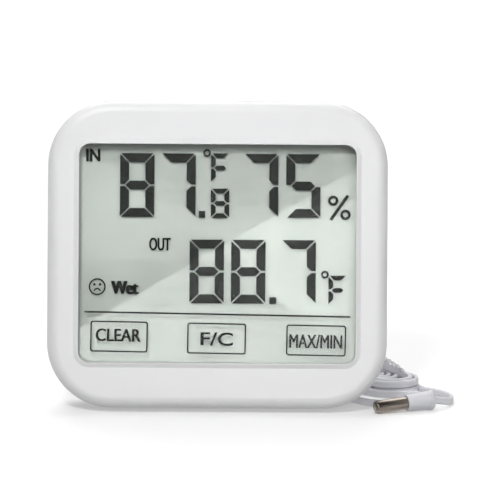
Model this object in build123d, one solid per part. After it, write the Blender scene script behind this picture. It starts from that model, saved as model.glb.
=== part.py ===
from build123d import *
import math
import os

# Digital maximum minimum thermometer with a probe on a lead. Millimetres.
#
# The case is modelled upright: X to the right, Y from the front to the back, Z up, with the
# front rim at y = 0 and the bottom at z = 0. It then leans back on its fold-out foot. The lead
# and the probe lie on the surface it stands on, and are modelled there directly.

# Case
WIDTH = 104.0
HEIGHT = 94.0
DEPTH = 23.0
SEAM_Y = 12.0
CORNER_R = 20.0
WALL = 2.0
FRONT_R = 3.5
BACK_R = 8.0
MID_Z = HEIGHT / 2
BACK_INNER_Y = DEPTH - WALL

# Window, its raised lip and the clear panel behind it
WINDOW_W = 84.6
WINDOW_H = 66.75
WINDOW_R = 3.5
WINDOW_Z = MID_Z + 0.3
LIP_WIDTH = 1.5
LIP_RISE = 0.6
BEZEL_INNER_Y = 2.4
PANEL_POCKET_Y = 1.3
PANEL_W = 89.6
PANEL_H = 71.6
TAPE_T = 0.1
PANEL_T = 1.0
PRINT_T = 0.04
FILM_T = 0.12

# Display cell, front to back
CELL_W = 87.6
CELL_TOP_Z = 82.15
CELL_BOTTOM_Z = 10.95
CONTACT_LEDGE = 2.45
POLARIZER_Y = 2.65
POLARIZER_T = 0.15
GLASS_T = 0.7
CELL_GAP = 0.1
REFLECTOR_T = 0.2
FRONT_GLASS_Y = POLARIZER_Y + POLARIZER_T
GAP_Y = FRONT_GLASS_Y + GLASS_T
REAR_GLASS_Y = GAP_Y + CELL_GAP
REFLECTOR_Y = REAR_GLASS_Y + GLASS_T
HOLDER_LEDGE_Y = REFLECTOR_Y + REFLECTOR_T

# Figures on the display
DIGIT_W = 10.5
DIGIT_H = 19.5
DIGIT_T = 2.75
SMALL_W = 5.6
SMALL_H = 9.0
SMALL_T = 1.45
SEGMENT_GAP = 0.3
ROOM_ROW_Z = 58.4
OUTDOOR_ROW_Z = 32.1
SEGMENTS = {"5": "afgcd", "7": "abc", "8": "abcdefg", "F": "aefg"}

# Touch keys, printed on the back of the panel slightly out of square
KEY_H = 9.5
KEY_LINE = 0.45
KEY_TILT = -0.8
KEY_ROW_Z = 21.4
RULE_Z = 28.8

# Board, holder and their fixings
BOARD_Y = 6.6
BOARD_T = 1.4
BOARD_BACK_Y = BOARD_Y + BOARD_T
BOARD_W = 96.6
BOARD_H = 74.0
BOARD_Z = 46.7
POST_X = 46.4
POST_LOW_Z = 27.0
POST_HIGH_Z = 67.6
POST_R = 2.0
CASE_SCREW_X = 30.0
CASE_SCREW_LOW_Z = 6.3
CASE_SCREW_HIGH_Z = 87.7
CASE_BOSS_R = 3.0
CASE_HEAD_Y = 14.5

# Batteries, AAA
CELL_R = 5.25
CELL_LEN = 44.5
BAY_Z = 58.0
BAY_HALF_X = 25.8
BAY_HALF_Z = 11.2
BAY_FRONT_Y = 9.9
BAY_WALL = 1.2
BATTERY_Y = BAY_FRONT_Y + 0.3 + CELL_R
BATTERY_PITCH = 10.8
BATTERY_SHIFT = 2.75
LEAF_T = 0.4
LEAF_REACH = BAY_HALF_X - LEAF_T - (CELL_LEN / 2 - BATTERY_SHIFT)

# Battery door
DOOR_HALF_X = 27.5
DOOR_T = 1.8
DOOR_AXIS_Y = DEPTH - DOOR_T / 2
DOOR_AXIS_Z = BAY_Z - 12.1
DOOR_TOP_Z = BAY_Z + 12.7
DOOR_PIN_R = 0.6

# Fold-out foot
LEAN = 9.0
FOOT_HALF_X = 14.8
FOOT_T = 2.0
FOOT_LEN = 27.0
FOOT_AXIS_Y = 20.9
FOOT_AXIS_Z = 6.4
FOOT_PIN_R = 1.2
FOOT_OPEN = 87.6
REST_CUT = 0.5

# Lead and probe
LEAD_R = 1.2
GLAND_X = 37.0
GLAND_Z = 13.0
GLAND_END_Y = 31.0
HANK_LEN = 49.2
HANK_W = 19.4
HANK_H = 7.6
HANK_TURN = 138.0
TIE_W = 2.8
TIE_T = 0.4
TIE_START = 6.6
CAP_R = 2.0
CAP_LEN = 14.0
CAP_OUT = 10.6
CAP_WALL_END = 10.5
CAP_NECK_R = 1.8
CAP_WALL = 0.3
SLEEVE_R = 2.55
COLLAR_R = 3.05
PROBE_LEN = 19.3
PROBE_TURN = 20.0
PROBE_RISE = 3.2

RUNNING_FIT = 0.05

# Where the surface lies under the leaning case, and the row's origin: the middle of the
# footprint, from the front of the case to the tip of the open foot.
SIN_LEAN = math.sin(math.radians(LEAN))
COS_LEAN = math.cos(math.radians(LEAN))
ROUND_CENTRE_Z = BACK_R * COS_LEAN - (DEPTH - BACK_R) * SIN_LEAN
SURFACE_Z = ROUND_CENTRE_Z - BACK_R + REST_CUT
ORIGIN_Y = 24.6
STANDING = Pos(0, -ORIGIN_Y, -SURFACE_Z) * Rot(-LEAN, 0, 0)


def slab(outline, y0, y1):
    """A plate of an X-Z outline, from y0 back to y1."""
    return extrude(Plane.XZ.offset(-y1) * outline, y1 - y0, dir=(0, -1, 0))


def rounded(w, h, r, x=0.0, z=MID_Z):
    return Pos(x, z) * RectangleRounded(w, h, r)


def plain(w, h, x=0.0, z=MID_Z):
    return Pos(x, z) * Rectangle(w, h)


def rod(r, x, z, y0, y1):
    """A round bar along Y."""
    return slab(Pos(x, z) * Circle(r), y0, y1)


def cross_rod(r, x0, x1, y, z):
    """A round bar along X."""
    return extrude(Plane.YZ.offset(x0) * Pos(y, z) * Circle(r), x1 - x0)


def block(x0, x1, y0, y1, z0, z1):
    return Pos(x0, y0, z0) * Box(x1 - x0, y1 - y0, z1 - z0, align=(Align.MIN, Align.MIN, Align.MIN))


def case_outline(inset):
    return rounded(WIDTH - 2 * inset, HEIGHT - 2 * inset, CORNER_R - inset)


def both_sides(x):
    return (-x, x)


def bend_radii(points):
    """The largest bend at each point that both of its runs leave room for."""
    radii = []
    for before, here, after in zip(points, points[1:], points[2:]):
        run_in = Vector(*here) - Vector(*before)
        run_out = Vector(*after) - Vector(*here)
        half_turn = math.radians(run_in.get_angle(run_out)) / 2
        radii.append(0.45 * min(run_in.length, run_out.length) / math.tan(half_turn))
    return radii


def tube(points, r, name=None):
    """A tube along straight runs joined by tangent arcs."""
    radii = bend_radii(points)
    path = FilletPolyline(*points, radius=radii)
    solid = sweep(Plane(origin=path @ 0, z_dir=path % 0) * Circle(r), path=path)
    if name:
        print(name, "radii in diameters", [round(value / (2 * r), 1) for value in radii])
        print(name, "length", round(path.length, 1), "volume", round(solid.volume, 1),
              "section x length", round(math.pi * r * r * path.length, 1))
    return solid


# ---------------------------------------------------------------- case


def case_bosses():
    return [(x, z) for x in both_sides(CASE_SCREW_X) for z in (CASE_SCREW_LOW_Z, CASE_SCREW_HIGH_Z)]


def board_posts():
    return [(x, z) for x in both_sides(POST_X) for z in (POST_LOW_Z, POST_HIGH_Z)]


def front_bezel():
    shell = slab(case_outline(0), LIP_RISE, SEAM_Y)
    front_edges = shell.faces().sort_by(Axis.Y)[0].edges()
    shell = fillet(front_edges, FRONT_R)
    lip_outline = rounded(WINDOW_W + 2 * LIP_WIDTH, WINDOW_H + 2 * LIP_WIDTH,
                          WINDOW_R + LIP_WIDTH, z=WINDOW_Z)
    lip_taper = math.degrees(math.atan((LIP_WIDTH - 0.3) / LIP_RISE))
    shell += extrude(Plane.XZ.offset(-LIP_RISE) * lip_outline, LIP_RISE, taper=lip_taper)
    shell -= slab(case_outline(WALL), BEZEL_INNER_Y, SEAM_Y)
    shell -= slab(case_outline(WALL / 2), SEAM_Y - 1.5, SEAM_Y)
    shell -= slab(rounded(WINDOW_W, WINDOW_H, WINDOW_R, z=WINDOW_Z), -1, BEZEL_INNER_Y)
    shell -= slab(rounded(PANEL_W + 0.4, PANEL_H + 0.4, 6, z=WINDOW_Z), PANEL_POCKET_Y, BEZEL_INNER_Y)
    for x, z in case_bosses():
        shell += rod(CASE_BOSS_R, x, z, BEZEL_INNER_Y, SEAM_Y)
        shell -= rod(1.05, x, z, 4.0, SEAM_Y)
    for x, z in board_posts():
        shell += rod(POST_R, x, z, BEZEL_INNER_Y, BOARD_Y)
        shell -= rod(0.85, x, z, BEZEL_INNER_Y + 0.8, BOARD_Y)
    return shell


def keyhole():
    """The hole that the head of a wall screw goes through, with its slot above."""
    return Pos(0, 78) * Circle(4) + Pos(0, 81) * Rectangle(4, 6) + Pos(0, 84) * Circle(2)


def vent_slots():
    slots = Sketch()
    for row in range(6):
        slots += Pos(-34, 14.5 + 2.4 * row) * SlotOverall(11, 1.2)
    return slots


def foot_recess():
    """The recess that the folded foot lies in, with a finger notch above it."""
    half = FOOT_HALF_X + 0.4
    low = FOOT_AXIS_Z - FOOT_T - RUNNING_FIT
    recess = block(-half, half, FOOT_AXIS_Y - 0.4, DEPTH + 1, low, FOOT_AXIS_Z + FOOT_LEN + 0.8)
    recess += block(-half, half, FOOT_AXIS_Y - FOOT_T - 0.4, DEPTH + 1, low, FOOT_AXIS_Z + 2.8)
    recess += slab(Pos(0, FOOT_AXIS_Z + FOOT_LEN + 0.5) * Circle(5.5), FOOT_AXIS_Y - 0.4, DEPTH + 1)
    return recess


def rear_cover():
    cover = slab(case_outline(0), SEAM_Y, DEPTH)
    cover = fillet(cover.faces().sort_by(Axis.Y)[-1].edges(), BACK_R)
    hollow = slab(case_outline(WALL), SEAM_Y, BACK_INNER_Y)
    cover -= fillet(hollow.faces().sort_by(Axis.Y)[-1].edges(), BACK_R - WALL)
    tongue = case_outline(WALL / 2 + RUNNING_FIT) - case_outline(WALL)
    cover += slab(tongue, SEAM_Y - 1.4, SEAM_Y)
    for x, z in case_bosses():
        cover += rod(CASE_BOSS_R + 0.9, x, z, SEAM_Y, DEPTH - 1.0)
        cover -= rod(1.4, x, z, SEAM_Y, DEPTH)
        cover -= rod(2.6, x, z, CASE_HEAD_Y, DEPTH + 1)
    tub_x = BAY_HALF_X + BAY_WALL
    tub_z = BAY_HALF_Z + BAY_WALL
    cover += block(-tub_x, tub_x, BAY_FRONT_Y - BAY_WALL, DEPTH - DOOR_T - 0.1, BAY_Z - tub_z, BAY_Z + tub_z)
    cover -= block(-BAY_HALF_X, BAY_HALF_X, BAY_FRONT_Y, DEPTH, BAY_Z - BAY_HALF_Z, BAY_Z + BAY_HALF_Z)
    cover -= block(-DOOR_HALF_X - 0.2, DOOR_HALF_X + 0.2, DEPTH - DOOR_T - 0.1, DEPTH + 1,
                   DOOR_AXIS_Z - DOOR_T / 2 - 0.1, DOOR_TOP_Z + 0.2)
    pin_reach = DOOR_HALF_X + 1.3
    cover -= cross_rod(DOOR_PIN_R + RUNNING_FIT, -pin_reach, pin_reach, DOOR_AXIS_Y, DOOR_AXIS_Z)
    cover += block(-FOOT_HALF_X - 2.6, FOOT_HALF_X + 2.6, 17.0, BACK_INNER_Y, 2.2, 36.0)
    cover -= foot_recess()
    foot_pin_reach = FOOT_HALF_X + 1.8
    cover -= cross_rod(FOOT_PIN_R + RUNNING_FIT, -foot_pin_reach, foot_pin_reach, FOOT_AXIS_Y, FOOT_AXIS_Z)
    cover -= slab(keyhole(), BACK_INNER_Y - 1, DEPTH + 1)
    cover -= slab(vent_slots(), BACK_INNER_Y - 1, DEPTH + 1)
    cover -= rod(2.6, GLAND_X, GLAND_Z, BACK_INNER_Y - 1, DEPTH + 1)
    for z in (BAY_Z - BATTERY_PITCH / 2, BAY_Z + BATTERY_PITCH / 2):
        cover -= cross_rod(0.8, -tub_x - 0.1, -BAY_HALF_X, 13.0, z)
    return cover


def resting_flat(cover):
    """The lower back edge is flattened where the leaning case rests on the surface."""
    below = Pos(0, 0, SURFACE_Z) * Box(2 * WIDTH, 4 * DEPTH, 10, align=(Align.CENTER, Align.CENTER, Align.MAX))
    return cover - Rot(LEAN, 0, 0) * below


def screw(x, z, head_y, head_r, head_h, shank_r, tip_y):
    """A pan-head screw put in from the back, with a cross recess."""
    body = rod(head_r, x, z, head_y, head_y + head_h)
    body = fillet(body.edges().sort_by(Axis.Y)[-1], head_h * 0.4)
    body += rod(shank_r, x, z, tip_y, head_y)
    for w, h in ((head_r * 1.2, 0.5), (0.5, head_r * 1.2)):
        body -= slab(Pos(x, z) * Rectangle(w, h), head_y + head_h * 0.5, head_y + head_h + 1)
    return body


def case_screws():
    return [screw(x, z, CASE_HEAD_Y, 2.3, 1.7, 1.2, 5.5) for x, z in case_bosses()]


def board_screws():
    return [screw(x, z, BOARD_BACK_Y, 1.8, 1.2, 0.95, 3.8) for x, z in board_posts()]


# ---------------------------------------------------------------- panel and display


def lens_tape():
    ring = rounded(PANEL_W, PANEL_H, 5.5, z=WINDOW_Z) - rounded(WINDOW_W + 0.4, WINDOW_H + 0.4, 3.7, z=WINDOW_Z)
    return slab(ring, PANEL_POCKET_Y, PANEL_POCKET_Y + TAPE_T)


def touch_lens():
    front = PANEL_POCKET_Y + TAPE_T
    return slab(rounded(PANEL_W, PANEL_H, 5.5, z=WINDOW_Z), front, front + PANEL_T)


def key_frame(x, w):
    outer = Pos(x, KEY_ROW_Z) * RectangleRounded(w, KEY_H, 0.9)
    inner = Pos(x, KEY_ROW_Z) * RectangleRounded(w - 2 * KEY_LINE, KEY_H - 2 * KEY_LINE, 0.5)
    return outer - inner


def key_print():
    """The rule and the three key outlines on the back of the panel."""
    marks = [Pos(0, RULE_Z) * Rectangle(81.2, 0.55)]
    marks += [key_frame(-29.9, 17.6), key_frame(-0.1, 18.0), key_frame(30.3, 18.3)]
    about = Pos(0, KEY_ROW_Z) * Rot(0, 0, KEY_TILT) * Pos(0, -KEY_ROW_Z)
    return [slab(about * mark, BEZEL_INNER_Y, BEZEL_INNER_Y + PRINT_T) for mark in marks]


def touch_film():
    """Clear film with the touch electrodes, and its tail round the display to the board."""
    front = BEZEL_INNER_Y + PRINT_T
    film = slab(rounded(86, 69, 3, z=WINDOW_Z), front, front + FILM_T)
    film += block(-6, 6, front, front + FILM_T, 81, 83.2)
    film += block(-6, 6, front, BOARD_Y, 83.2 - FILM_T, 83.2)
    film += block(-6, 6, BOARD_Y - FILM_T, BOARD_Y, 81.4, 83.2)
    return film


def cell_plate(low_z, y0, thickness, trim=0.0):
    h = CELL_TOP_Z - low_z - 2 * trim
    return slab(plain(CELL_W - 2 * trim, h, z=(CELL_TOP_Z + low_z) / 2), y0, y0 + thickness)


def lcd_front_polarizer():
    return cell_plate(CELL_BOTTOM_Z + CONTACT_LEDGE, POLARIZER_Y, POLARIZER_T, trim=0.4)


def lcd_front_glass():
    return cell_plate(CELL_BOTTOM_Z, FRONT_GLASS_Y, GLASS_T)


def lcd_rear_glass():
    return cell_plate(CELL_BOTTOM_Z + CONTACT_LEDGE, REAR_GLASS_Y, GLASS_T)


def lcd_rear_reflector():
    return cell_plate(CELL_BOTTOM_Z + CONTACT_LEDGE, REFLECTOR_Y, REFLECTOR_T, trim=0.4)


def lcd_seal():
    low = CELL_BOTTOM_Z + CONTACT_LEDGE
    middle = (CELL_TOP_Z + low) / 2
    h = CELL_TOP_Z - low
    ring = plain(CELL_W, h, z=middle) - plain(CELL_W - 2.0, h - 0.9, z=middle)
    return slab(ring, GAP_Y, REAR_GLASS_Y)


def segment(name, w, h, t):
    """One bar of a seven-bar figure of width w, height h and bar t, as its corner points."""
    s = SEGMENT_GAP
    mid = h / 2
    bar = {
        "a": [(s, h), (w - s, h), (w - s - t, h - t), (s + t, h - t)],
        "b": [(w, h - s), (w - t, h - s - t), (w - t, mid + t / 2 + s), (w - t / 2, mid + s), (w, mid + s)],
        "g": [(s + t / 2, mid), (s + t, mid + t / 2), (w - s - t, mid + t / 2),
              (w - s - t / 2, mid), (w - s - t, mid - t / 2), (s + t, mid - t / 2)],
    }
    mirrored = {"d": ("a", False, True), "c": ("b", False, True), "f": ("b", True, False), "e": ("b", True, True)}
    if name in bar:
        return bar[name]
    source, flip_x, flip_z = mirrored[name]
    return [(w - x if flip_x else x, h - z if flip_z else z) for x, z in bar[source]]


def figure(sign, x, z, w, h, t):
    """The lit bars of one figure whose lower left corner is at x, z."""
    return [Pos(x, z) * Polygon(*segment(bar, w, h, t), align=None) for bar in SEGMENTS[sign]]


def large(sign, x, z):
    return figure(sign, x, z, DIGIT_W, DIGIT_H, DIGIT_T)


def small(sign, x, z):
    return figure(sign, x, z, SMALL_W, SMALL_H, SMALL_T)


def ring(x, z, r, line):
    return Pos(x, z) * (Circle(r) - Circle(r - line))


def percent_sign(x, z):
    slash = Pos(x + 3.5, z + 4) * Rot(0, 0, -35) * Rectangle(1.0, 9.2)
    return [ring(x + 1.6, z + 6.1, 1.6, 0.85), ring(x + 5.4, z + 1.8, 1.6, 0.85), slash]


def comfort_face(x, z):
    """A round face with a turned-down mouth, which stands beside the word for damp air."""
    mouth = Pos(x, z - 1.5) * (Circle(1.15) - Circle(0.75)) - Pos(x, z - 2.1) * Rectangle(3, 1.6)
    eyes = [Pos(x + side, z + 0.7) * Circle(0.38) for side in both_sides(0.85)]
    return [ring(x, z, 2.6, 0.45), mouth, *eyes]


def lcd_segments():
    row = ROOM_ROW_Z
    shapes = large("8", -29.9, row) + large("7", -17.3, row) + [plain(1.95, 2.1, -4.8, row + 0.9)]
    shapes += small("8", -2.1, row - 0.2) + [ring(-3.35, row + 19.7, 1.2, 0.6)] + small("F", -2.1, row + 10.6)
    shapes += large("7", 8.0, row) + large("5", 20.9, row) + percent_sign(33.7, row - 0.8)
    row = OUTDOOR_ROW_Z
    shapes += large("8", -8.5, row) + large("8", 4.2, row) + [plain(2.05, 2.1, 17.0, row + 0.95)]
    shapes += large("7", 19.6, row) + [ring(32.9, row + 9.0, 1.2, 0.6)] + small("F", 34.0, row - 0.3)
    shapes += comfort_face(-36.7, 37.0)
    inset = 0.02
    return [slab(shape, GAP_Y + inset, REAR_GLASS_Y - inset) for shape in shapes]


def lcd_holder():
    """The frame that holds the panel and the display, clamped by the board."""
    low = CELL_BOTTOM_Z - 0.15
    high = CELL_TOP_Z + 0.15
    frame = slab(rounded(94, 74.6, 8, z=46.9), BEZEL_INNER_Y, BOARD_Y)
    frame -= slab(plain(CELL_W + 0.4, high - low, z=(high + low) / 2), BEZEL_INNER_Y, HOLDER_LEDGE_Y)
    frame -= slab(plain(80, 60, z=48), HOLDER_LEDGE_Y, BOARD_Y)
    frame -= slab(plain(80.6, 2.5, z=12.2), HOLDER_LEDGE_Y, BOARD_Y)
    frame -= block(-6.5, 6.5, BEZEL_INNER_Y, BOARD_Y, 81.3, 83.5)
    for x, z in board_posts():
        frame -= rod(POST_R + 0.15, x, z, BEZEL_INNER_Y, BOARD_Y)
    return frame


def zebra_strip():
    """The rubber strip that joins the display's lower ledge to the board."""
    return block(-40, 40, GAP_Y, BOARD_Y, 11.1, 13.3)


# ---------------------------------------------------------------- board


def main_board():
    board = slab(rounded(BOARD_W, BOARD_H, 12, z=BOARD_Z), BOARD_Y, BOARD_BACK_Y)
    for x, z in board_posts():
        board -= rod(1.1, x, z, BOARD_Y, BOARD_BACK_Y)
    return board


def mcu_blob():
    blob = rod(7, 0, 27, BOARD_BACK_Y, BOARD_BACK_Y + 1.6)
    return fillet(blob.edges().sort_by(Axis.Y)[-1], 1.2)


def crystal():
    can = cross_rod(1.0, 12, 18, BOARD_BACK_Y + 1.0, 34)
    can += cross_rod(0.15, 10.2, 12, BOARD_BACK_Y + 0.15, 33.5)
    can += cross_rod(0.15, 10.2, 12, BOARD_BACK_Y + 0.15, 34.5)
    return can


def chip_parts():
    """Small capacitors and resistors round the controller."""
    chips = []
    for x in (-12, 12):
        for row in range(4):
            z = 20 + 3.4 * row
            chips.append(block(x - 1, x + 1, BOARD_BACK_Y, BOARD_BACK_Y + 0.7, z, z + 1.2))
    for column in range(3):
        x = -5 + 4.2 * column
        chips.append(block(x, x + 1.2, BOARD_BACK_Y, BOARD_BACK_Y + 0.7, 38, 40))
    return chips


def humidity_sensor():
    """A slotted housing over the humidity element, close behind the vents."""
    housing = block(-39, -27, BOARD_BACK_Y, BOARD_BACK_Y + 4.2, 16, 25)
    for row in range(4):
        z = 17.3 + 1.8 * row
        housing -= block(-37.5, -28.5, BOARD_BACK_Y + 3.0, BOARD_BACK_Y + 5, z, z + 0.9)
    return housing


def room_thermistor():
    """A bead on two legs above the board, at the top of the vents."""
    bead = Pos(-34, BOARD_BACK_Y + 6, 31) * Sphere(1.3)
    for x in (-34.6, -33.4):
        bead += rod(0.25, x, 31, BOARD_BACK_Y, BOARD_BACK_Y + 6)
    return bead


def probe_socket():
    socket = block(17, 24.5, BOARD_BACK_Y, BOARD_BACK_Y + 4.4, 18.4, 23.6)
    socket -= block(19, 25, BOARD_BACK_Y + 0.8, BOARD_BACK_Y + 3.8, 19.1, 22.9)
    return socket


def probe_plug():
    return block(19, 26.5, BOARD_BACK_Y + 0.8, BOARD_BACK_Y + 3.8, 19.1, 22.9)


# ---------------------------------------------------------------- batteries


def battery(z, plus_side):
    """An AAA cell along X, with its plus end towards plus_side."""
    x0 = -CELL_LEN / 2
    can = cross_rod(CELL_R, x0, x0 + CELL_LEN - 1.0, 0, 0)
    can = fillet(can.edges().filter_by(GeomType.CIRCLE), 0.5)
    can += cross_rod(1.9, x0 + CELL_LEN - 1.0, x0 + CELL_LEN, 0, 0)
    turn = 0 if plus_side > 0 else 180
    return Pos(plus_side * BATTERY_SHIFT, BATTERY_Y, z) * Rot(0, 0, turn) * can


def contact_plate(side, z):
    """A plate on the end wall of the bay."""
    inner = side * (BAY_HALF_X - LEAF_T)
    outer = side * BAY_HALF_X
    return block(min(inner, outer), max(inner, outer), BAY_FRONT_Y, BATTERY_Y + 4, z - 4.4, z + 4.4)


def plus_bump(side, z):
    """The pressed bump that the cell's plus end rests on."""
    reach = BAY_HALF_X - (CELL_LEN / 2 + BATTERY_SHIFT)
    face = side * BAY_HALF_X
    tip = side * (BAY_HALF_X - reach)
    return cross_rod(2.2, min(face, tip), max(face, tip), BATTERY_Y, z)


def contact_leaf(side, z):
    """A folded leaf that presses on the cell's flat end."""
    tip = -side * LEAF_REACH
    inner_tip = -side * (LEAF_REACH - LEAF_T)
    fold = Polygon((0, -3.6), (tip, -0.9), (tip, 0.9), (0, 3.6), align=None)
    fold -= Polygon((0, -3.1), (inner_tip, -0.7), (inner_tip, 0.7), (0, 3.1), align=None)
    base = side * (BAY_HALF_X - LEAF_T)
    return extrude(Plane.XY.offset(z - 2.2) * Pos(base, BATTERY_Y) * fold, 4.4, dir=(0, 0, 1))


def battery_bridge():
    """The strip that joins the two cells at the right-hand end of the bay."""
    lower = BAY_Z - BATTERY_PITCH / 2
    upper = BAY_Z + BATTERY_PITCH / 2
    strip = contact_plate(1, lower) + contact_plate(1, upper) + plus_bump(1, upper) + contact_leaf(1, lower)
    return strip + block(BAY_HALF_X - LEAF_T, BAY_HALF_X, BAY_FRONT_Y, BATTERY_Y, lower, upper)


def battery_minus_contact():
    upper = BAY_Z + BATTERY_PITCH / 2
    return contact_plate(-1, upper) + contact_leaf(-1, upper)


def battery_plus_contact():
    lower = BAY_Z - BATTERY_PITCH / 2
    return contact_plate(-1, lower) + plus_bump(-1, lower)


def battery_leads():
    """Two insulated wires from the left-hand contacts to the board."""
    wires = []
    for z, end_z in ((BAY_Z - BATTERY_PITCH / 2, 47.0), (BAY_Z + BATTERY_PITCH / 2, 58.0)):
        wires.append(tube([(-BAY_HALF_X, 13, z), (-32, 13, z), (-35, BOARD_BACK_Y, end_z)], 0.6))
    return wires


def battery_door():
    """A door hinged on two pins at its lower edge, with a finger tab at its upper edge."""
    door = block(-DOOR_HALF_X, DOOR_HALF_X, DEPTH - DOOR_T, DEPTH, DOOR_AXIS_Z, DOOR_TOP_Z)
    door += cross_rod(DOOR_T / 2, -DOOR_HALF_X, DOOR_HALF_X, DOOR_AXIS_Y, DOOR_AXIS_Z)
    pin_reach = DOOR_HALF_X + 1.0
    door += cross_rod(DOOR_PIN_R, -pin_reach, pin_reach, DOOR_AXIS_Y, DOOR_AXIS_Z)
    door -= slab(Pos(0, DOOR_TOP_Z) * SlotOverall(12, 3), DEPTH - 0.8, DEPTH + 1)
    for row in range(4):
        door -= slab(Pos(0, DOOR_TOP_Z - 4 - 1.6 * row) * SlotOverall(14, 0.7), DEPTH - 0.4, DEPTH + 1)
    for x in both_sides(18):
        door += block(x - 1, x + 1, DEPTH - DOOR_T - 0.4, DEPTH - DOOR_T, BAY_Z - 9, BAY_Z + 9)
    return door


# ---------------------------------------------------------------- foot


def kickstand():
    """The fold-out foot, modelled folded and then opened about its pins."""
    flap = block(-FOOT_HALF_X, FOOT_HALF_X, 0, FOOT_T, 0, FOOT_LEN - FOOT_T / 2)
    flap += cross_rod(FOOT_T / 2, -FOOT_HALF_X, FOOT_HALF_X, FOOT_T / 2, FOOT_LEN - FOOT_T / 2)
    flap -= block(-10, 10, -1, 0.8, 5, FOOT_LEN - 6)
    flap += block(-0.6, 0.6, 0, 1, 4, FOOT_LEN - 5)
    flap -= slab(Pos(0, FOOT_LEN) * Circle(4), -1, 0.9)
    flap += cross_rod(FOOT_T, -FOOT_HALF_X, FOOT_HALF_X, 0, 0)
    pin_reach = FOOT_HALF_X + 1.6
    flap += cross_rod(FOOT_PIN_R, -pin_reach, pin_reach, 0, 0)
    return Pos(0, FOOT_AXIS_Y, FOOT_AXIS_Z) * Rot(-FOOT_OPEN, 0, 0) * flap


# ---------------------------------------------------------------- lead and probe


def cord_gland():
    """A rubber bush in the rear wall with a tapered tail outside."""
    half_section = Polyline((LEAD_R, 19.4), (3.6, 19.4), (3.6, BACK_INNER_Y), (2.6, BACK_INNER_Y), (2.6, DEPTH),
                            (3.4, DEPTH), (3.4, DEPTH + 1.4), (1.8, GLAND_END_Y), (LEAD_R, GLAND_END_Y), close=True)
    bush = revolve(make_face(half_section), Axis.Y)
    return Pos(GLAND_X, 0, GLAND_Z) * bush


def probe_lead_inside():
    plug_y = BOARD_BACK_Y + 2.3
    route = [(GLAND_X, GLAND_END_Y, GLAND_Z), (GLAND_X, 14.5, GLAND_Z), (34.5, plug_y + 0.6, 19.5), (26.5, plug_y, 21)]
    return tube(route, LEAD_R, "probe_lead_inside")


def gland_mouth():
    """Where the lead leaves the gland, on the standing object."""
    return (STANDING * Location((GLAND_X, GLAND_END_Y, GLAND_Z))).position


def cord_lead():
    """From the gland round to the surface, past the probe and into the hank."""
    start = gland_mouth()
    route = [(start.X, start.Y, start.Z), (37, 12.3, 9.2), (35.2, 15.2, 7.6), (31.5, 17, 4.8), (26.5, 17, 2.2),
             (22.6, 14.2, 1.3), (21.2, 9.6, 1.2), (23.6, 5, 1.2), (30, 2.6, 1.2), (36.6, 0.2, 1.2),
             (42, -5.6, 1.2), (47, -10.6, 1.2), (53, -12.4, 1.2), (59.4, -11.4, 1.2), (64.2, -7.4, 1.2),
             (65.4, -1.6, 1.2), (62, 2.4, 1.2), (55.4, 1.4, 1.2), (50, 3.2, 1.3), (47.6, 7, 2)]
    return tube(route, LEAD_R, "cord_lead")


def hank_place():
    """At the centre of the hank's near turn, with X along the hank."""
    return Pos(55, 11.5, 0) * Rot(0, 0, HANK_TURN)


def cord_hank():
    """The wound part of the lead as one solid of its outer shape."""
    middle = (HANK_LEN - HANK_W) / 2
    hank = extrude(Pos(middle, 0, 0.2) * SlotOverall(HANK_LEN, HANK_W), HANK_H)
    hank = fillet(hank.faces().sort_by(Axis.Z)[-1].edges(), 1.6)
    return hank_place() * hank


def cord_tie():
    """A twist tie round the hank, with its twisted ends standing up."""
    outer = RectangleRounded(HANK_W + 2 * TIE_T, HANK_H + 0.2 + TIE_T, 1.9)
    inner = RectangleRounded(HANK_W, HANK_H + 0.2 - TIE_T, 1.5)
    height = (HANK_H + 0.2 + TIE_T) / 2
    band = extrude(Plane.YZ.offset(TIE_START) * Pos(0, height) * (outer - inner), TIE_W)
    tails = Pos(TIE_START + TIE_W / 2, -5.0, HANK_H + 0.2) * Rot(20, -50, 0) * Cylinder(
        0.7, 4.5, align=(Align.CENTER, Align.CENTER, Align.MIN))
    return hank_place() * (band + tails)


def probe_place():
    """The probe lies on the surface, its tip at the origin and its axis along X."""
    return Pos(48.3, -21.2, CAP_R + 0.06) * Rot(0, 0, PROBE_TURN) * Rot(0, -PROBE_RISE, 0)


def turned(points):
    """A round piece about X from its half section."""
    return probe_place() * revolve(make_face(Polyline(*points, close=True)), Axis.X)


def probe_sleeve():
    collar_x = PROBE_LEN - 2.0
    return turned([(CAP_OUT, CAP_NECK_R), (CAP_OUT, SLEEVE_R), (collar_x, SLEEVE_R + 0.3), (collar_x + 0.4, COLLAR_R),
                   (PROBE_LEN - 0.4, COLLAR_R), (PROBE_LEN, COLLAR_R - 0.4), (PROBE_LEN, 0.5), (CAP_LEN, 0.5),
                   (CAP_LEN, CAP_NECK_R)])


def probe_cap():
    """The steel cap, drawn in to a neck where the sleeve is moulded over it."""
    shell = extrude(Plane.YZ * Circle(CAP_R), CAP_WALL_END)
    shell = fillet(shell.edges().sort_by(Axis.X)[0], 0.9)
    shell += extrude(Plane.YZ.offset(CAP_WALL_END) * Circle(CAP_NECK_R), CAP_LEN - CAP_WALL_END)
    return probe_place() * (shell - cap_hollow())


def cap_hollow():
    """The inside of the cap and its neck, open at the neck's end."""
    wide = extrude(Plane.YZ.offset(0.6) * Circle(CAP_R - CAP_WALL), CAP_WALL_END - 0.9)
    return wide + extrude(Plane.YZ.offset(0.6) * Circle(CAP_NECK_R - CAP_WALL), CAP_LEN - 0.6)


def probe_thermistor():
    bead = Pos(3.2, 0, 0) * Sphere(1.0)
    for y in both_sides(0.22):
        bead += cross_rod(0.18, 3.2, PROBE_LEN - 0.5, y, 0)
    return probe_place() * bead


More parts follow.
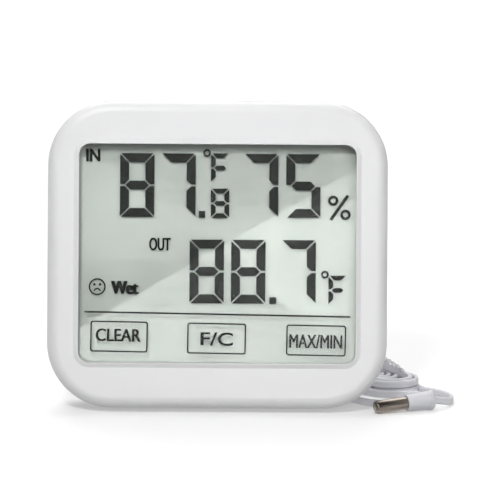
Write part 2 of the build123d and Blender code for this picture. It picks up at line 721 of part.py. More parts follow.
def probe_potting():
    fill = cap_hollow() - Pos(3.2, 0, 0) * Sphere(1.0)
    for y in both_sides(0.22):
        fill -= cross_rod(0.18, 3.2, CAP_LEN + 1, y, 0)
    return probe_place() * fill


def cord_tail():
    """From the probe round to the right and back to the hank."""
    start = (probe_place() * Location((PROBE_LEN, 0, 0))).position
    route = [(start.X, start.Y, start.Z), (69.8, -12.8, 2.4), (72.2, -9.6, 1.6), (73.2, -5.4, 1.2), (73, -1, 1.2),
             (71.2, 3.2, 1.2), (68, 6.6, 1.2), (63.9, 9.6, 1.2), (60.6, 12, 1.5)]
    return tube(route, LEAD_R, "cord_tail")


# ---------------------------------------------------------------- all pieces


def case_pieces():
    lower = BAY_Z - BATTERY_PITCH / 2
    upper = BAY_Z + BATTERY_PITCH / 2
    return {
        "front_bezel": front_bezel(),
        "rear_cover": resting_flat(rear_cover()),
        "case_screws": case_screws(),
        "lens_tape": lens_tape(),
        "touch_lens": touch_lens(),
        "key_print": key_print(),
        "touch_film": touch_film(),
        "lcd_front_polarizer": lcd_front_polarizer(),
        "lcd_front_glass": lcd_front_glass(),
        "lcd_segments": lcd_segments(),
        "lcd_seal": lcd_seal(),
        "lcd_rear_glass": lcd_rear_glass(),
        "lcd_rear_reflector": lcd_rear_reflector(),
        "lcd_holder": lcd_holder(),
        "zebra_strip": zebra_strip(),
        "main_board": main_board(),
        "board_screws": board_screws(),
        "mcu_blob": mcu_blob(),
        "crystal": crystal(),
        "chip_parts": chip_parts(),
        "humidity_sensor": humidity_sensor(),
        "room_thermistor": room_thermistor(),
        "probe_socket": probe_socket(),
        "probe_plug": probe_plug(),
        "probe_lead_inside": probe_lead_inside(),
        "battery_upper": battery(upper, 1),
        "battery_lower": battery(lower, -1),
        "battery_bridge": battery_bridge(),
        "battery_plus_contact": battery_plus_contact(),
        "battery_minus_contact": battery_minus_contact(),
        "battery_leads": battery_leads(),
        "battery_door": battery_door(),
        "kickstand": kickstand(),
        "cord_gland": cord_gland(),
    }


def lying_pieces():
    return {
        "cord_lead": cord_lead(),
        "cord_hank": cord_hank(),
        "cord_tail": cord_tail(),
        "cord_tie": cord_tie(),
        "probe_sleeve": probe_sleeve(),
        "probe_cap": probe_cap(),
        "probe_thermistor": probe_thermistor(),
        "probe_potting": probe_potting(),
    }


def write(name, piece):
    solids = piece if isinstance(piece, list) else [piece]
    flat = [solid for shape in solids for solid in shape.solids()]
    export_step(flat[0] if len(flat) == 1 else Compound(children=flat), f"parts/{name}.step")


def main():
    os.makedirs("parts", exist_ok=True)
    for name, piece in case_pieces().items():
        shapes = piece if isinstance(piece, list) else [piece]
        write(name, [STANDING * shape for shape in shapes])
    for name, piece in lying_pieces().items():
        write(name, piece)


main()
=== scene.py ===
import math
import bmesh
import bpy
from mathutils import Matrix, Vector


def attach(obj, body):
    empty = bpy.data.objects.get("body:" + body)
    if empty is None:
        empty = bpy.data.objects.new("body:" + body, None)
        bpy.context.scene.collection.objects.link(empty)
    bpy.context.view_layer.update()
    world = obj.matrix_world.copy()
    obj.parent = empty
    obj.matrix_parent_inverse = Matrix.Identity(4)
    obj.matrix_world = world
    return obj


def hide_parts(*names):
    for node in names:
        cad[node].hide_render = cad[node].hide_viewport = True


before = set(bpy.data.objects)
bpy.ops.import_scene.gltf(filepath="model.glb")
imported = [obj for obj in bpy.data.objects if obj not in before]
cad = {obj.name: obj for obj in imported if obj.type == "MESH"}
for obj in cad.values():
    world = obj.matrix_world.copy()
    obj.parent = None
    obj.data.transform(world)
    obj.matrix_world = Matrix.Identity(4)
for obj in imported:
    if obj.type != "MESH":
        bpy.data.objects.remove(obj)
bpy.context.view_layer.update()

MM = 0.001
scene = bpy.context.scene

# The case leans back. Points given as on an upright case are put on the standing one.
LEAN = math.radians(9.0)
ORIGIN_Y = 24.6
FLOOR_DROP = 1.945
BODY_MID_Z = 47.0


def standing(x, y, z):
    """A point of the upright case, in millimetres, as a point of the row frame in metres."""
    c, s = math.cos(LEAN), math.sin(LEAN)
    return Vector((x, y * c + z * s - ORIGIN_Y, -y * s + z * c + FLOOR_DROP)) * MM


# ------------------------------------------------------------------ camera
CAMERA_DISTANCE = 800.0
CAMERA_RIGHT = 9.95
CAMERA_UP = 1.5
FRAME_WIDTH = 152.2
CAMERA_ROLL = math.radians(0.35)

camera_data = bpy.data.cameras.new("camera")
camera = bpy.data.objects.new("camera", camera_data)
scene.collection.objects.link(camera)
scene.camera = camera
camera_data.sensor_width = 36.0
camera_data.lens = 36.0 * CAMERA_DISTANCE / FRAME_WIDTH
camera_data.clip_start = 0.01
camera_data.clip_end = 50.0
target = standing(CAMERA_RIGHT, 0, BODY_MID_Z + CAMERA_UP)
camera.location = standing(CAMERA_RIGHT, -CAMERA_DISTANCE, BODY_MID_Z + CAMERA_UP)
look = (target - camera.location).to_track_quat("-Z", "Y")
camera.rotation_mode = "QUATERNION"
camera.rotation_quaternion = look @ Matrix.Rotation(CAMERA_ROLL, 4, "Z").to_quaternion()


# ------------------------------------------------------------------ cord
CORD_TALL = 2.4
CORD_THICK = 1.3

# From the gland mouth down to the surface, forward, behind the probe and back to the hank.
LEAD_ROUTE = [
    (37.0, 8.052, 9.9355), (37, 12.3, 9.2), (35.2, 15.2, 7.6), (31.5, 17.0, 4.8), (26.5, 17.0, 2.2),
    (22.6, 14.2, 1.3), (21.2, 9.6, 1.2), (23.6, 5.0, 1.2), (30.0, 2.6, 1.2), (36.6, 0.2, 1.2),
    (42.0, -5.6, 1.2), (47.0, -10.6, 1.2), (53.0, -12.4, 1.2), (59.4, -11.4, 1.2), (64.2, -7.4, 1.2),
    (65.4, -1.6, 1.2), (62.0, 2.4, 1.2), (55.4, 1.4, 1.2), (48.6, 3.6, 1.2),
]
# From the hank round to the right and back to the probe.
TAIL_ROUTE = [
    (63.9, 9.6, 1.2), (68.0, 6.6, 1.2), (71.2, 3.2, 1.2), (73.0, -1.0, 1.2), (73.2, -5.4, 1.2),
    (72.2, -9.6, 1.6), (69.8, -12.8, 2.4), (66.408, -14.609, 3.14), (65.94, -14.78, 3.11),
]
HANK_X, HANK_Y = 55.0, 11.5
HANK_TURN = math.radians(138.0)
HANK_FAR = 29.6


def in_hank(u, v, z):
    """A point of the hank, u along it and v across it, in row millimetres."""
    c, s = math.cos(HANK_TURN), math.sin(HANK_TURN)
    return (HANK_X + u * c - v * s, HANK_Y + u * s + v * c, z)


def half_turn(points, centre, radius, heights, first, last, steps):
    """Adds the points of one bend of the hank, with its height changing along it."""
    for step in range(steps + 1):
        t = step / steps
        angle = math.radians(first + (last - first) * t)
        r = radius[0] + (radius[1] - radius[0]) * t
        z = heights[0] + (heights[1] - heights[0]) * t
        points.append((centre + r * math.cos(angle), r * math.sin(angle), z))


def run(points, to, count=2):
    """Adds points between the last one and the next bend's start."""
    start = points[-1]
    for step in range(1, count + 1):
        t = step / (count + 1)
        points.append(tuple(a + (b - a) * t for a, b in zip(start, to)))


def hank_route():
    """The wound part, fifteen turns: in along the surface, out above it, in again, and over the top."""
    low, mid, top = 1.35, 3.95, 6.5
    # (radius leaving the near end, its centre and height, radius leaving the far end, its height)
    turns = [
        (9.2, 8.0, low, 8.5, low), (7.8, 0.0, low, 7.2, low), (6.5, 1.6, low, 5.9, low),
        (5.2, 4.0, low, 4.6, low), (3.9, 6.0, low, 3.3, 2.6), (3.3, 8.6, mid, 3.9, mid),
        (4.6, 8.6, mid, 5.2, mid), (5.9, 7.6, mid, 6.5, mid), (7.2, 6.4, mid, 8.4, mid),
        (8.5, 0.2, mid, 8.3, 5.6), (7.7, 16.0, top, 7.0, top), (6.4, 15.2, top, 5.8, top),
        (5.2, 15.8, top, 4.6, top), (4.0, 16.6, top, 3.4, top), (3.2, 17.4, top, 4.4, 8.2),
    ]
    points = []
    for index, (r, near, z, far_r, far_z) in enumerate(turns):
        if index == 0:
            points.append((near, r, z))
        else:
            before = turns[index - 1]
            half_turn(points, near, (before[3], r), (z, z), 270, 90, 8)
        run(points, (HANK_FAR, r, far_z))
        half_turn(points, HANK_FAR, (r, far_r), (far_z, far_z), 90, -90, 6)
        if index + 1 < len(turns):
            run(points, (turns[index + 1][1], -far_r, far_z))
    # Over the top, down inside the near loop, and once more round the outside to the surface.
    points += [(20.0, -4.5, 8.9), (14.0, -4.3, 8.5), (9.0, -4.3, 7.3), (4.5, -4.5, 6.4), (1.0, -5.0, 5.8)]
    half_turn(points, 0.2, (6.4, 6.4), (4.3, 4.3), 235, 90, 6)
    points += [(4.0, 7.4, 5.0), (8.0, 8.6, 6.2), (12.0, 9.0, 6.5), (20.0, 9.0, 6.5)]
    half_turn(points, HANK_FAR, (9.0, 9.6), (6.5, 6.0), 90, -90, 6)
    points += [(20.0, -10.0, 5.0), (12.5, -10.2, 3.4), (4.5, -10.2, 2.0), (-2.0, -9.6, 1.3)]
    return [in_hank(*p) for p in points]


def spline_points(route, resolution):
    """The points of a smooth NURBS curve whose control points are the route's, in metres."""
    data = bpy.data.curves.new("route", "CURVE")
    data.dimensions = "3D"
    data.resolution_u = resolution
    spline = data.splines.new("NURBS")
    spline.points.add(len(route) - 1)
    for point, place in zip(spline.points, route):
        point.co = (*(Vector(place) * MM), 1.0)
    spline.order_u = 3
    spline.use_endpoint_u = True
    holder = bpy.data.objects.new("route", data)
    scene.collection.objects.link(holder)
    bpy.context.view_layer.update()
    mesh = bpy.data.meshes.new_from_object(holder.evaluated_get(bpy.context.evaluated_depsgraph_get()))
    points = [v.co.copy() for v in mesh.vertices]
    bpy.data.objects.remove(holder)
    bpy.data.meshes.remove(mesh)
    return points


def flat_section(tall, thick):
    """Two round cores side by side with a shallow web between them, as (across, up)."""
    r, centre = thick / 2, (tall - thick) / 2
    ring = []
    for sign in (1, -1):
        for step in range(7):
            angle = math.radians(-18 + 36 * step) if sign > 0 else math.radians(162 + 36 * step)
            ring.append((r * math.cos(angle), sign * centre + r * math.sin(angle)))
        ring.append((-sign * r * 0.86, 0.0))
    return ring


def new_object(name, data):
    thing = bpy.data.objects.new(name, data)
    scene.collection.objects.link(thing)
    return thing


def swept(name, points, section):
    """A tube of the given section along points, its tall side kept upright."""
    mesh = bmesh.new()
    rings = []
    for index, point in enumerate(points):
        ahead = points[min(index + 1, len(points) - 1)] - points[max(index - 1, 0)]
        side = ahead.cross(Vector((0, 0, 1))).normalized()
        up = side.cross(ahead).normalized()
        rings.append([mesh.verts.new(point + (side * a + up * b) * MM) for a, b in section])
    count = len(section)
    for one, two in zip(rings, rings[1:]):
        for k in range(count):
            mesh.faces.new((one[k], one[(k + 1) % count], two[(k + 1) % count], two[k]))
    mesh.faces.new(list(reversed(rings[0])))
    mesh.faces.new(rings[-1])
    bmesh.ops.recalc_face_normals(mesh, faces=mesh.faces)
    data = bpy.data.meshes.new(name)
    mesh.to_mesh(data)
    mesh.free()
    for face in data.polygons:
        face.use_smooth = len(face.vertices) == 4
    return new_object(name, data)


cord_path = spline_points(LEAD_ROUTE + hank_route() + TAIL_ROUTE, 5)
probe_lead = swept("probe_lead", cord_path, flat_section(CORD_TALL, CORD_THICK))
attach(probe_lead, "case")
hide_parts("cord_lead", "cord_hank", "cord_tail")


# The tie: a film-covered wire round the bundle, its ends twisted together.
TIE_U, TIE_HALF, TIE_THICK = 8.0, 1.4, 0.35
TIE_RIB = 0.4
TIE_CLEAR_OF_FLOOR = 0.02
TIE_ROUND = [
    (-10.7, 0.2), (-11.25, 0.7), (-11.25, 2.4), (-10.9, 4.0), (-9.4, 5.4), (-6.2, 7.9), (-4.6, 8.75),
    (-3.0, 8.5), (2.6, 7.0), (8.2, 7.7), (10.0, 7.3), (10.35, 5.0), (10.3, 2.0), (10.1, 0.6), (9.4, 0.2),
    (0.0, 0.2),
]
TWIST_PATH = [(8.0, -5.0, 9.1), (4.6, -4.6, 8.4), (1.6, -4.4, 7.6), (-1.4, -4.4, 6.2)]


def tie_band(mesh):
    """The closed film round the bundle, with a raised rib over its wire."""
    film = TIE_THICK * 0.5
    section = [(-TIE_HALF, 0), (TIE_HALF, 0), (TIE_HALF, film), (TIE_RIB, film), (0, TIE_THICK),
               (-TIE_RIB, film), (-TIE_HALF, film)]
    rings = []
    count = len(TIE_ROUND)
    for index, (v, z) in enumerate(TIE_ROUND):
        before, after = TIE_ROUND[index - 1], TIE_ROUND[(index + 1) % count]
        outward = Vector((-(after[1] - before[1]), after[0] - before[0])).normalized()
        ring = []
        for du, out in section:
            height = max(z + outward.y * out, TIE_CLEAR_OF_FLOOR)
            ring.append(mesh.verts.new(Vector(in_hank(TIE_U + du, v + outward.x * out, height)) * MM))
        rings.append(ring)
    sides = len(section)
    for one, two in zip(rings, rings[1:] + rings[:1]):
        for k in range(sides):
            mesh.faces.new((one[k], one[(k + 1) % sides], two[(k + 1) % sides], two[k]))


def tie_twist(mesh):
    """The two ends wound round each other, as one twisted strip that narrows to its tip."""
    steps, twist = 30, math.radians(900)
    root_wide, tip_wide, thin = 1.05, 0.7, 0.42
    corners = ((-1, -0.4), (0, -0.6), (1, -0.4), (1, 0.4), (0, 0.6), (-1, 0.4))
    sides = len(corners)
    rings = []
    for step in range(steps + 1):
        t = step / steps * (len(TWIST_PATH) - 1)
        low = min(int(t), len(TWIST_PATH) - 2)
        start, end = Vector(TWIST_PATH[low]), Vector(TWIST_PATH[low + 1])
        centre = start + (end - start) * (t - low)
        along = (end - start).normalized()
        side = along.cross(Vector((0, 0, 1))).normalized()
        up = side.cross(along)
        angle = step / steps * twist
        wide = root_wide - (root_wide - tip_wide) * step / steps
        a = side * math.cos(angle) + up * math.sin(angle)
        b = up * math.cos(angle) - side * math.sin(angle)
        rings.append([mesh.verts.new(Vector(in_hank(*(centre + a * wide * i + b * thin * j))) * MM)
                      for i, j in corners])
    for one, two in zip(rings, rings[1:]):
        for k in range(sides):
            mesh.faces.new((one[k], one[(k + 1) % sides], two[(k + 1) % sides], two[k]))
    mesh.faces.new(list(reversed(rings[0])))
    mesh.faces.new(rings[-1])


tie_shape = bmesh.new()
tie_band(tie_shape)
tie_twist(tie_shape)
bmesh.ops.recalc_face_normals(tie_shape, faces=tie_shape.faces)
tie_data = bpy.data.meshes.new("twist_tie")
tie_shape.to_mesh(tie_data)
tie_shape.free()
for face in tie_data.polygons:
    face.use_smooth = True
twist_tie = new_object("twist_tie", tie_data)
smooth = twist_tie.modifiers.new("smooth", "SUBSURF")
smooth.levels = smooth.render_levels = 2
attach(twist_tie, "case")
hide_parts("cord_tie")


# ------------------------------------------------------------------ materials
class Nodes:
    """One material's node tree, with short ways to add what the materials here share."""

    def __init__(self, name):
        self.material = bpy.data.materials.new(name)
        self.material.use_nodes = True
        self.tree = self.material.node_tree
        self.tree.nodes.clear()
        self.place = self.add("ShaderNodeTexCoord").outputs["Object"]
        self.output = self.add("ShaderNodeOutputMaterial")

    def add(self, kind, **values):
        node = self.tree.nodes.new(kind)
        for key, value in values.items():
            setattr(node, key, value)
        return node

    def link(self, source, target):
        self.tree.links.new(source, target)

    def noise(self, scale, detail=3.0, stretch=None):
        """A soft noise of so many cells to the metre."""
        texture = self.add("ShaderNodeTexNoise")
        texture.inputs["Scale"].default_value = scale
        texture.inputs["Detail"].default_value = detail
        place = self.place
        if stretch:
            mapping = self.add("ShaderNodeMapping")
            mapping.inputs["Scale"].default_value = stretch
            self.link(place, mapping.inputs["Vector"])
            place = mapping.outputs["Vector"]
        self.link(place, texture.inputs["Vector"])
        return texture.outputs["Fac"]

    def ramp(self, factor, stops):
        """A colour ramp over factor, from (position, colour) pairs."""
        node = self.add("ShaderNodeValToRGB")
        ramp = node.color_ramp
        while len(ramp.elements) < len(stops):
            ramp.elements.new(0.5)
        for element, (position, colour) in zip(ramp.elements, stops):
            element.position = position
            element.color = (*colour, 1.0)
        self.link(factor, node.inputs["Fac"])
        return node.outputs["Color"]

    def spread(self, factor, low, high):
        """factor, taken from 0.3-0.7 to low-high."""
        node = self.add("ShaderNodeMapRange")
        for name, value in (("From Min", 0.3), ("From Max", 0.7), ("To Min", low), ("To Max", high)):
            node.inputs[name].default_value = value
        self.link(factor, node.inputs["Value"])
        return node.outputs["Result"]

    def math(self, operation, first, second):
        node = self.add("ShaderNodeMath", operation=operation)
        for socket, value in zip(node.inputs, (first, second)):
            if isinstance(value, (int, float)):
                socket.default_value = value
            else:
                self.link(value, socket)
        return node.outputs["Value"]

    def bump(self, height, strength, distance):
        node = self.add("ShaderNodeBump")
        node.inputs["Strength"].default_value = strength
        node.inputs["Distance"].default_value = distance
        self.link(height, node.inputs["Height"])
        return node.outputs["Normal"]

    def principled(self, **sockets):
        """A Principled shader. A number or colour is set on its socket, anything else is linked."""
        node = self.add("ShaderNodeBsdfPrincipled")
        for key, value in sockets.items():
            socket = node.inputs[key.replace("_", " ")]
            if isinstance(value, (int, float)):
                socket.default_value = value
            elif isinstance(value, tuple):
                socket.default_value = (*value, 1.0)[:len(socket.default_value)]
            else:
                self.link(value, socket)
        return node.outputs["BSDF"]

    def finish(self, shader):
        self.link(shader, self.output.inputs["Surface"])
        return self.material


def shade(colour, by):
    return tuple(min(1.0, part * by) for part in colour)


GRAZING_SHARE = 0.6


def moulded(name, colour, roughness, cells=260.0, vary=0.03, grain=0.12, grain_cells=1500.0, **sockets):
    """Moulded plastic or rubber: faint flow in its colour and gloss, and a fine spark-eroded grain."""
    n = Nodes(name)
    flow = n.noise(cells * 0.2, 4.0)
    fine = n.noise(grain_cells, 4.0)
    base = n.ramp(flow, [(0.3, shade(colour, 1 - vary)), (0.7, shade(colour, 1 + vary))])
    gloss = n.spread(n.noise(cells, 3.0), roughness * 0.86, roughness * 1.16)
    normal = n.bump(fine, grain, 0.00006)
    return n.finish(n.principled(Base_Color=base, Roughness=gloss, Normal=normal, **sockets))


def metal(name, colour, roughness, stretch, cells=900.0, grain=0.15):
    """Drawn or stamped metal with fine lines along its work direction."""
    n = Nodes(name)
    lines = n.noise(cells, 5.0, stretch)
    tone = n.noise(180.0, 3.0)
    base = n.ramp(tone, [(0.3, shade(colour, 0.9)), (0.7, shade(colour, 1.08))])
    gloss = n.spread(lines, roughness * 0.7, roughness * 1.35)
    normal = n.bump(lines, grain, 0.00003)
    return n.finish(n.principled(Base_Color=base, Roughness=gloss, Normal=normal, Metallic=1.0))


def clear(name, tint, facing_share, roughness=0.03):
    """A clear sheet: what is behind shows straight through, and its faces mirror facing_share of the
    light that meets them squarely and more of what grazes them."""
    n = Nodes(name)
    through = n.add("ShaderNodeBsdfTransparent")
    cloud = n.noise(60.0, 2.0)
    n.link(n.ramp(cloud, [(0.3, shade(tint, 0.998)), (0.7, shade(tint, 1.002))]), through.inputs["Color"])
    mirror = n.add("ShaderNodeBsdfGlossy")
    n.link(n.spread(n.noise(400.0, 3.0), roughness * 0.7, roughness * 1.4), mirror.inputs["Roughness"])
    weight = n.add("ShaderNodeLayerWeight")
    weight.inputs["Blend"].default_value = 0.5
    grazing = n.math("POWER", weight.outputs["Facing"], 5.0)
    mix = n.add("ShaderNodeMixShader")
    n.link(n.math("ADD", n.math("MULTIPLY", grazing, GRAZING_SHARE), facing_share), mix.inputs["Fac"])
    n.link(through.outputs["BSDF"], mix.inputs[1])
    n.link(mirror.outputs["BSDF"], mix.inputs[2])
    return n.finish(mix.outputs["Shader"])


def probe_material():
    """Drawn stainless tube in a warm tint, darkened and streaked along its length with dark and bright
    lines: painted reflections of dark and bright surroundings, over its real fine drawing lines.
    """
    n = Nodes("probe_steel")
    turn = n.add("ShaderNodeMapping", vector_type="TEXTURE")
    turn.inputs["Rotation"].default_value = (0.0, 0.0, math.radians(20.0))
    n.link(n.place, turn.inputs["Vector"])
    n.place = turn.outputs["Vector"]
    lines = n.noise(900.0, 4.0, (0.06, 1.0, 1.0))
    broad_reflection_streaks = n.noise(420.0, 2.0, (0.1, 1.0, 1.0))
    # Painted reflections: the dark and bright streaks and the dark tone stand in for surroundings mirrored
    # in the steel.
    base = n.ramp(n.math("MULTIPLY", n.math("ADD", lines, broad_reflection_streaks), 0.5),
                  [(0.38, (0.07, 0.058, 0.05)), (0.5, (0.27, 0.235, 0.205)), (0.62, (0.42, 0.375, 0.335))])
    gloss = n.spread(lines, 0.16, 0.34)
    return n.finish(n.principled(Base_Color=base, Roughness=gloss, Metallic=1.0,
                                 Normal=n.bump(lines, 0.2, 0.00003)))


def board_material():
    """Green solder mask over copper tracks, which show as a paler, raised net."""
    n = Nodes("board_green")
    tracks = n.add("ShaderNodeTexBrick", offset=0.37, squash=0.6)
    n.link(n.place, tracks.inputs["Vector"])
    for key, value in (("Scale", 190.0), ("Mortar Size", 0.03), ("Mortar Smooth", 0.2)):
        tracks.inputs[key].default_value = value
    tracks.inputs["Color1"].default_value = (0.012, 0.13, 0.045, 1)
    tracks.inputs["Color2"].default_value = (0.016, 0.16, 0.055, 1)
    tracks.inputs["Mortar"].default_value = (0.03, 0.23, 0.09, 1)
    gloss = n.spread(n.noise(500.0), 0.22, 0.34)
    normal = n.bump(tracks.outputs["Fac"], 0.3, 0.00004)
    return n.finish(n.principled(Base_Color=tracks.outputs["Color"], Roughness=gloss, Normal=normal))


def battery_material():
    """A plain cell sleeve: dark film with a copper band toward each cell's plus end."""
    n = Nodes("battery_jacket")
    split = n.add("ShaderNodeSeparateXYZ")
    n.link(n.place, split.inputs["Vector"])
    wave = n.math("ABSOLUTE", split.outputs["X"], 0.0)
    band = n.math("GREATER_THAN", wave, 0.0135)
    film = n.noise(1200.0, 2.0)
    base = n.ramp(n.math("ADD", band, n.math("MULTIPLY", film, 0.02)),
                  [(0.45, (0.02, 0.021, 0.024)), (0.55, (0.45, 0.2, 0.09))])
    gloss = n.spread(n.noise(300.0), 0.2, 0.34)
    return n.finish(n.principled(Base_Color=base, Roughness=gloss, Metallic=0.35,
                                 Normal=n.bump(film, 0.08, 0.00003)))


def reflector_material():
    """The grey-green rear of the display, a fine brushed foil seen through two polarisers."""
    n = Nodes("display_reflector")
    grain = n.noise(2200.0, 2.0, (1.0, 1.0, 0.35))
    tone = n.noise(25.0, 2.0)
    base = n.ramp(tone, [(0.3, (0.665, 0.675, 0.655)), (0.7, (0.685, 0.695, 0.675))])
    return n.finish(n.principled(Base_Color=base, Roughness=n.spread(grain, 0.5, 0.62),
                                 Normal=n.bump(grain, 0.05, 0.00003), Specular_IOR_Level=0.2,
                                 Coat_Weight=1.0, Coat_Roughness=0.01, Coat_IOR=1.5))


def ink_material(name, colour, roughness):
    """Near-black marks whose density wavers a little, as printed or driven ones do."""
    n = Nodes(name)
    tone = n.noise(700.0, 3.0)
    base = n.ramp(tone, [(0.3, shade(colour, 0.8)), (0.7, shade(colour, 1.3))])
    return n.finish(n.principled(Base_Color=base, Roughness=n.spread(tone, roughness * 0.9, roughness * 1.1),
                                 Specular_IOR_Level=0.25))


def cord_material():
    """Soft white PVC, slightly uneven, with drawing marks along the lead."""
    n = Nodes("cord_white")
    flow = n.noise(120.0, 4.0)
    fine = n.noise(2500.0, 3.0)
    base = n.ramp(flow, [(0.3, (0.72, 0.72, 0.755)), (0.7, (0.77, 0.77, 0.80))])
    gloss = n.spread(n.noise(500.0), 0.36, 0.5)
    return n.finish(n.principled(Base_Color=base, Roughness=gloss, Normal=n.bump(fine, 0.1, 0.00005),
                                 Subsurface_Weight=0.15, Subsurface_Radius=(0.001, 0.001, 0.001)))


CASE = (0.74, 0.74, 0.745)
materials = {
    "case_white": moulded("case_white", CASE, 0.34, vary=0.012, grain=0.1),
    "panel_clear": clear("panel_clear", (0.994, 0.997, 0.994), 0.002, 0.015),
    "film_clear": clear("film_clear", (0.996, 0.998, 0.996), 0.0),
    "display_glass": clear("display_glass", (0.993, 0.998, 0.995), 0.0),
    "display_polarizer": clear("display_polarizer", (0.99, 0.994, 0.99), 0.0),
    "display_reflector": reflector_material(),
    "display_ink": ink_material("display_ink", (0.007, 0.008, 0.007), 0.5),
    "key_ink": ink_material("key_ink", (0.009, 0.01, 0.01), 0.35),
    "seal_clear": clear("seal_clear", (0.8, 0.84, 0.8), 0.02, 0.2),
    "tape_black": moulded("tape_black", (0.012, 0.012, 0.013), 0.7, vary=0.15, grain=0.4),
    "holder_white": moulded("holder_white", (0.72, 0.72, 0.71), 0.45, vary=0.02),
    "zebra_rubber": moulded("zebra_rubber", (0.16, 0.1, 0.1), 0.6, vary=0.2, grain=0.3),
    "board_green": board_material(),
    "epoxy_black": moulded("epoxy_black", (0.012, 0.012, 0.013), 0.28, vary=0.3, grain=0.25,
                           grain_cells=700.0),
    "crystal_can": metal("crystal_can", (0.68, 0.67, 0.65), 0.26, (0.2, 1, 1)),
    "chip_body": moulded("chip_body", (0.09, 0.07, 0.055), 0.42, vary=0.3, grain=0.2),
    "sensor_housing": moulded("sensor_housing", (0.68, 0.67, 0.62), 0.5, vary=0.04, grain=0.25),
    "bead_epoxy": moulded("bead_epoxy", (0.05, 0.028, 0.012), 0.3, vary=0.3, grain=0.2),
    "connector_white": moulded("connector_white", (0.74, 0.72, 0.66), 0.4, vary=0.03),
    "cord_white": cord_material(),
    "screw_steel": metal("screw_steel", (0.58, 0.57, 0.56), 0.3, (1, 0.3, 1)),
    "battery_jacket": battery_material(),
    "contact_nickel": metal("contact_nickel", (0.66, 0.63, 0.58), 0.22, (0.15, 1, 1)),
    "wire_insulation": moulded("wire_insulation", (0.35, 0.02, 0.02), 0.4, vary=0.1),
    "gland_rubber": moulded("gland_rubber", (0.6, 0.6, 0.63), 0.55, vary=0.05, grain=0.3),
    "tie_clear": moulded("tie_clear", (0.8, 0.8, 0.82), 0.25, vary=0.02, grain=0.3, Alpha=0.62),
    "probe_steel": probe_material(),
    "sleeve_white": moulded("sleeve_white", (0.66, 0.66, 0.69), 0.38, vary=0.02, grain=0.08),
    "potting_epoxy": moulded("potting_epoxy", (0.1, 0.09, 0.08), 0.4, vary=0.1),
}
for node in cad.values():
    for place in node.material_slots:
        place.material = materials[place.material.name.split(".")[0]]
probe_lead.data.materials.append(materials["cord_white"])
twist_tie.data.materials.append(materials["tie_clear"])


# ------------------------------------------------------------------ lettering
GLASS_GAP_Y = 3.55
PRINT_Y = 2.42
LETTER_THICK = 0.04
KEY_PIVOT_Z = 21.4


def word(name, text, box, depth, material, offset=0.0, widen=0.0, turn=0.0):
    """Letters drawn to fill box = (left, right, low, high) on the face, in millimetres of the upright
    case. offset thickens every stroke, and widen the upright ones."""
    left, right, low, high = box
    curve = bpy.data.curves.new(name, "FONT")
    curve.body = text
    curve.offset = offset
    curve.resolution_u = 6
    holder = new_object(name + "_curve", curve)
    bpy.context.view_layer.update()
    mesh = bpy.data.meshes.new_from_object(holder.evaluated_get(bpy.context.evaluated_depsgraph_get()))
    bpy.data.objects.remove(holder)
    xs = [v.co.x for v in mesh.vertices]
    ys = [v.co.y for v in mesh.vertices]
    c, s = math.cos(math.radians(turn)), math.sin(math.radians(turn))
    shape = bmesh.new()
    for copy, shift in enumerate((-widen, 0.0, widen) if widen else (0.0,)):
        before = set(shape.verts)
        shape.from_mesh(mesh)
        fresh = [v for v in shape.verts if v not in before]
        faces = [f for f in shape.faces if f.verts[0] in set(fresh)]
        bmesh.ops.solidify(shape, geom=faces, thickness=0.001)
        fresh = [v for v in shape.verts if v not in before]
        back, front = (limit(v.co.z for v in fresh) for limit in (min, max))
        for v in fresh:
            x = left + widen + shift + (right - left - 2 * widen) * (v.co.x - min(xs)) / (max(xs) - min(xs))
            z = low + (high - low) * (v.co.y - min(ys)) / (max(ys) - min(ys)) - KEY_PIVOT_Z
            y = depth + LETTER_THICK * (0.5 - (v.co.z - back) / (front - back)) + 0.002 * copy
            v.co = standing(x * c - z * s, y, KEY_PIVOT_Z + x * s + z * c)
    bmesh.ops.recalc_face_normals(shape, faces=shape.faces)
    shape.to_mesh(mesh)
    shape.free()
    letters = new_object(name, mesh)
    mesh.materials.clear()
    mesh.materials.append(materials[material])
    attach(letters, "case")


KEY_TILT = -0.8
word("word_in", "IN", (-40.3, -36.0, 75.3, 79.2), GLASS_GAP_Y, "display_ink", 0.008, 0.12)
word("word_out", "OUT", (-20.9, -14.3, 48.2, 52.1), GLASS_GAP_Y, "display_ink", 0.008, 0.1)
word("word_comfort", "Wet", (-32.5, -24.0, 34.8, 38.8), GLASS_GAP_Y, "display_ink", 0.006, 0.3)
word("key_word_clear", "CLEAR", (-37.0, -23.2, 19.9, 23.8), PRINT_Y, "key_ink", 0.006, 0.12, KEY_TILT)
word("key_word_unit", "F/C", (-5.0, 4.95, 19.2, 23.3), PRINT_Y, "key_ink", 0.012, 0.04, KEY_TILT)
word("key_word_record", "MAX/MIN", (22.1, 38.3, 19.0, 23.2), PRINT_Y, "key_ink", 0.0, 0.12, KEY_TILT)


# ------------------------------------------------------------------ light
scene.view_settings.view_transform = "Standard"
scene.cycles.transparent_max_bounces = 32

SKY_STRENGTH = 0.44
world = bpy.data.worlds.new("studio")
scene.world = world
world.use_nodes = True
world.node_tree.nodes.clear()
sky_output = world.node_tree.nodes.new("ShaderNodeOutputWorld")
sky = world.node_tree.nodes.new("ShaderNodeBackground")
sky.inputs["Color"].default_value = (1.0, 1.0, 1.0, 1.0)
sky.inputs["Strength"].default_value = SKY_STRENGTH
world.node_tree.links.new(sky.outputs["Background"], sky_output.inputs["Surface"])


def area_light(name, place, aim, width, height, power, spin=0.0):
    """A rectangular light: places and sides in metres, power in watts, spin about its own axis."""
    data = bpy.data.lights.new(name, "AREA")
    data.shape = "RECTANGLE"
    data.size, data.size_y = width, height
    data.energy = power
    light = new_object(name, data)
    light.location = place
    light.rotation_mode = "QUATERNION"
    turned = (Vector(aim) - Vector(place)).to_track_quat("-Z", "Y")
    light.rotation_quaternion = turned @ Matrix.Rotation(spin, 4, "Z").to_quaternion()
    return light


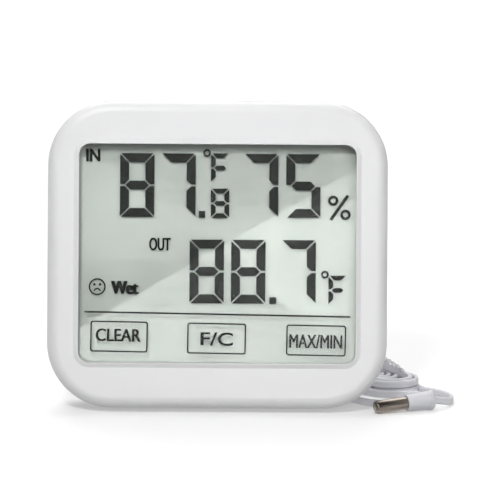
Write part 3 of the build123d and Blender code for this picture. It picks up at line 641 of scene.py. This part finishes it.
# A soft light from the right, a narrower one over the upper part, and a wide one from behind and above.
area_light("key", (0.42, -0.95, 0.5), standing(0, 0, BODY_MID_Z), 0.3, 0.3, power=2.0)
front = area_light("front", (-0.12, -0.5, 0.46), (-0.005, 0, 0.088), 0.14, 0.14, power=0.16)
front.data.spread = math.radians(50)
area_light("top", (-0.1, 0.75, 1.25), (0, 0, 0), 1.2, 1.2, power=11.0)

# A tall soft panel behind the camera, turned so that its edge lies across the display.
CARD_DISTANCE = 1400.0
CARD_SIDE = 700.0
CARD_POWER = 9.5
EDGE_SLOPE = math.atan(0.583)
EDGE_POINT = (6.0, 5.35)
grow = CARD_DISTANCE / CAMERA_DISTANCE
edge_x = EDGE_POINT[0] + (EDGE_POINT[0] - CAMERA_RIGHT) * grow
edge_z = EDGE_POINT[1] + (EDGE_POINT[1] - CAMERA_UP) * grow
card_x = edge_x + CARD_SIDE / 2 * math.sin(EDGE_SLOPE)
card_z = edge_z - CARD_SIDE / 2 * math.cos(EDGE_SLOPE)
card_place = standing(card_x, -CARD_DISTANCE, BODY_MID_Z + card_z)
card_aim = standing(card_x, 0, BODY_MID_Z + card_z)
card = area_light("card", card_place, card_aim, CARD_SIDE * MM, CARD_SIDE * MM, CARD_POWER, EDGE_SLOPE)
card.visible_diffuse = False
card.visible_camera = False


# ------------------------------------------------------------------ floor
FLOOR_HALF = 12
# The floor glows, a painted light that is brighter away from the object and dimmer near it: (distance in
# metres, strength) near and far.
GLOW_NEAR = (0.3, 0.15)
GLOW_FAR = (2.2, 0.6)
corners = [(-FLOOR_HALF, -FLOOR_HALF, 0), (FLOOR_HALF, -FLOOR_HALF, 0), (FLOOR_HALF, FLOOR_HALF, 0),
           (-FLOOR_HALF, FLOOR_HALF, 0)]
floor_mesh = bpy.data.meshes.new("floor")
floor_mesh.from_pydata(corners, [], [(0, 1, 2, 3)])
floor = new_object("floor", floor_mesh)
paper_and_painted_glow = Nodes("floor_paper_and_painted_glow")
reach = paper_and_painted_glow.add("ShaderNodeVectorMath", operation="LENGTH")
paper_and_painted_glow.link(paper_and_painted_glow.place, reach.inputs[0])
glow = paper_and_painted_glow.add("ShaderNodeMapRange", interpolation_type="SMOOTHSTEP")
for key, value in zip(("From Min", "To Min", "From Max", "To Max"), GLOW_NEAR + GLOW_FAR):
    glow.inputs[key].default_value = value
paper_and_painted_glow.link(reach.outputs["Value"], glow.inputs["Value"])
# Painted light: the floor's own emission, weak near the object and strong far from it.
floor_mesh.materials.append(paper_and_painted_glow.finish(paper_and_painted_glow.principled(
    Base_Color=paper_and_painted_glow.ramp(paper_and_painted_glow.noise(9.0), [(0.3, (0.9, 0.9, 0.9)), (0.7, (0.92, 0.92, 0.92))]),
    Roughness=0.7, Emission_Color=(1.0, 1.0, 1.0), Emission_Strength=glow.outputs["Result"])))
floor.visible_diffuse = False
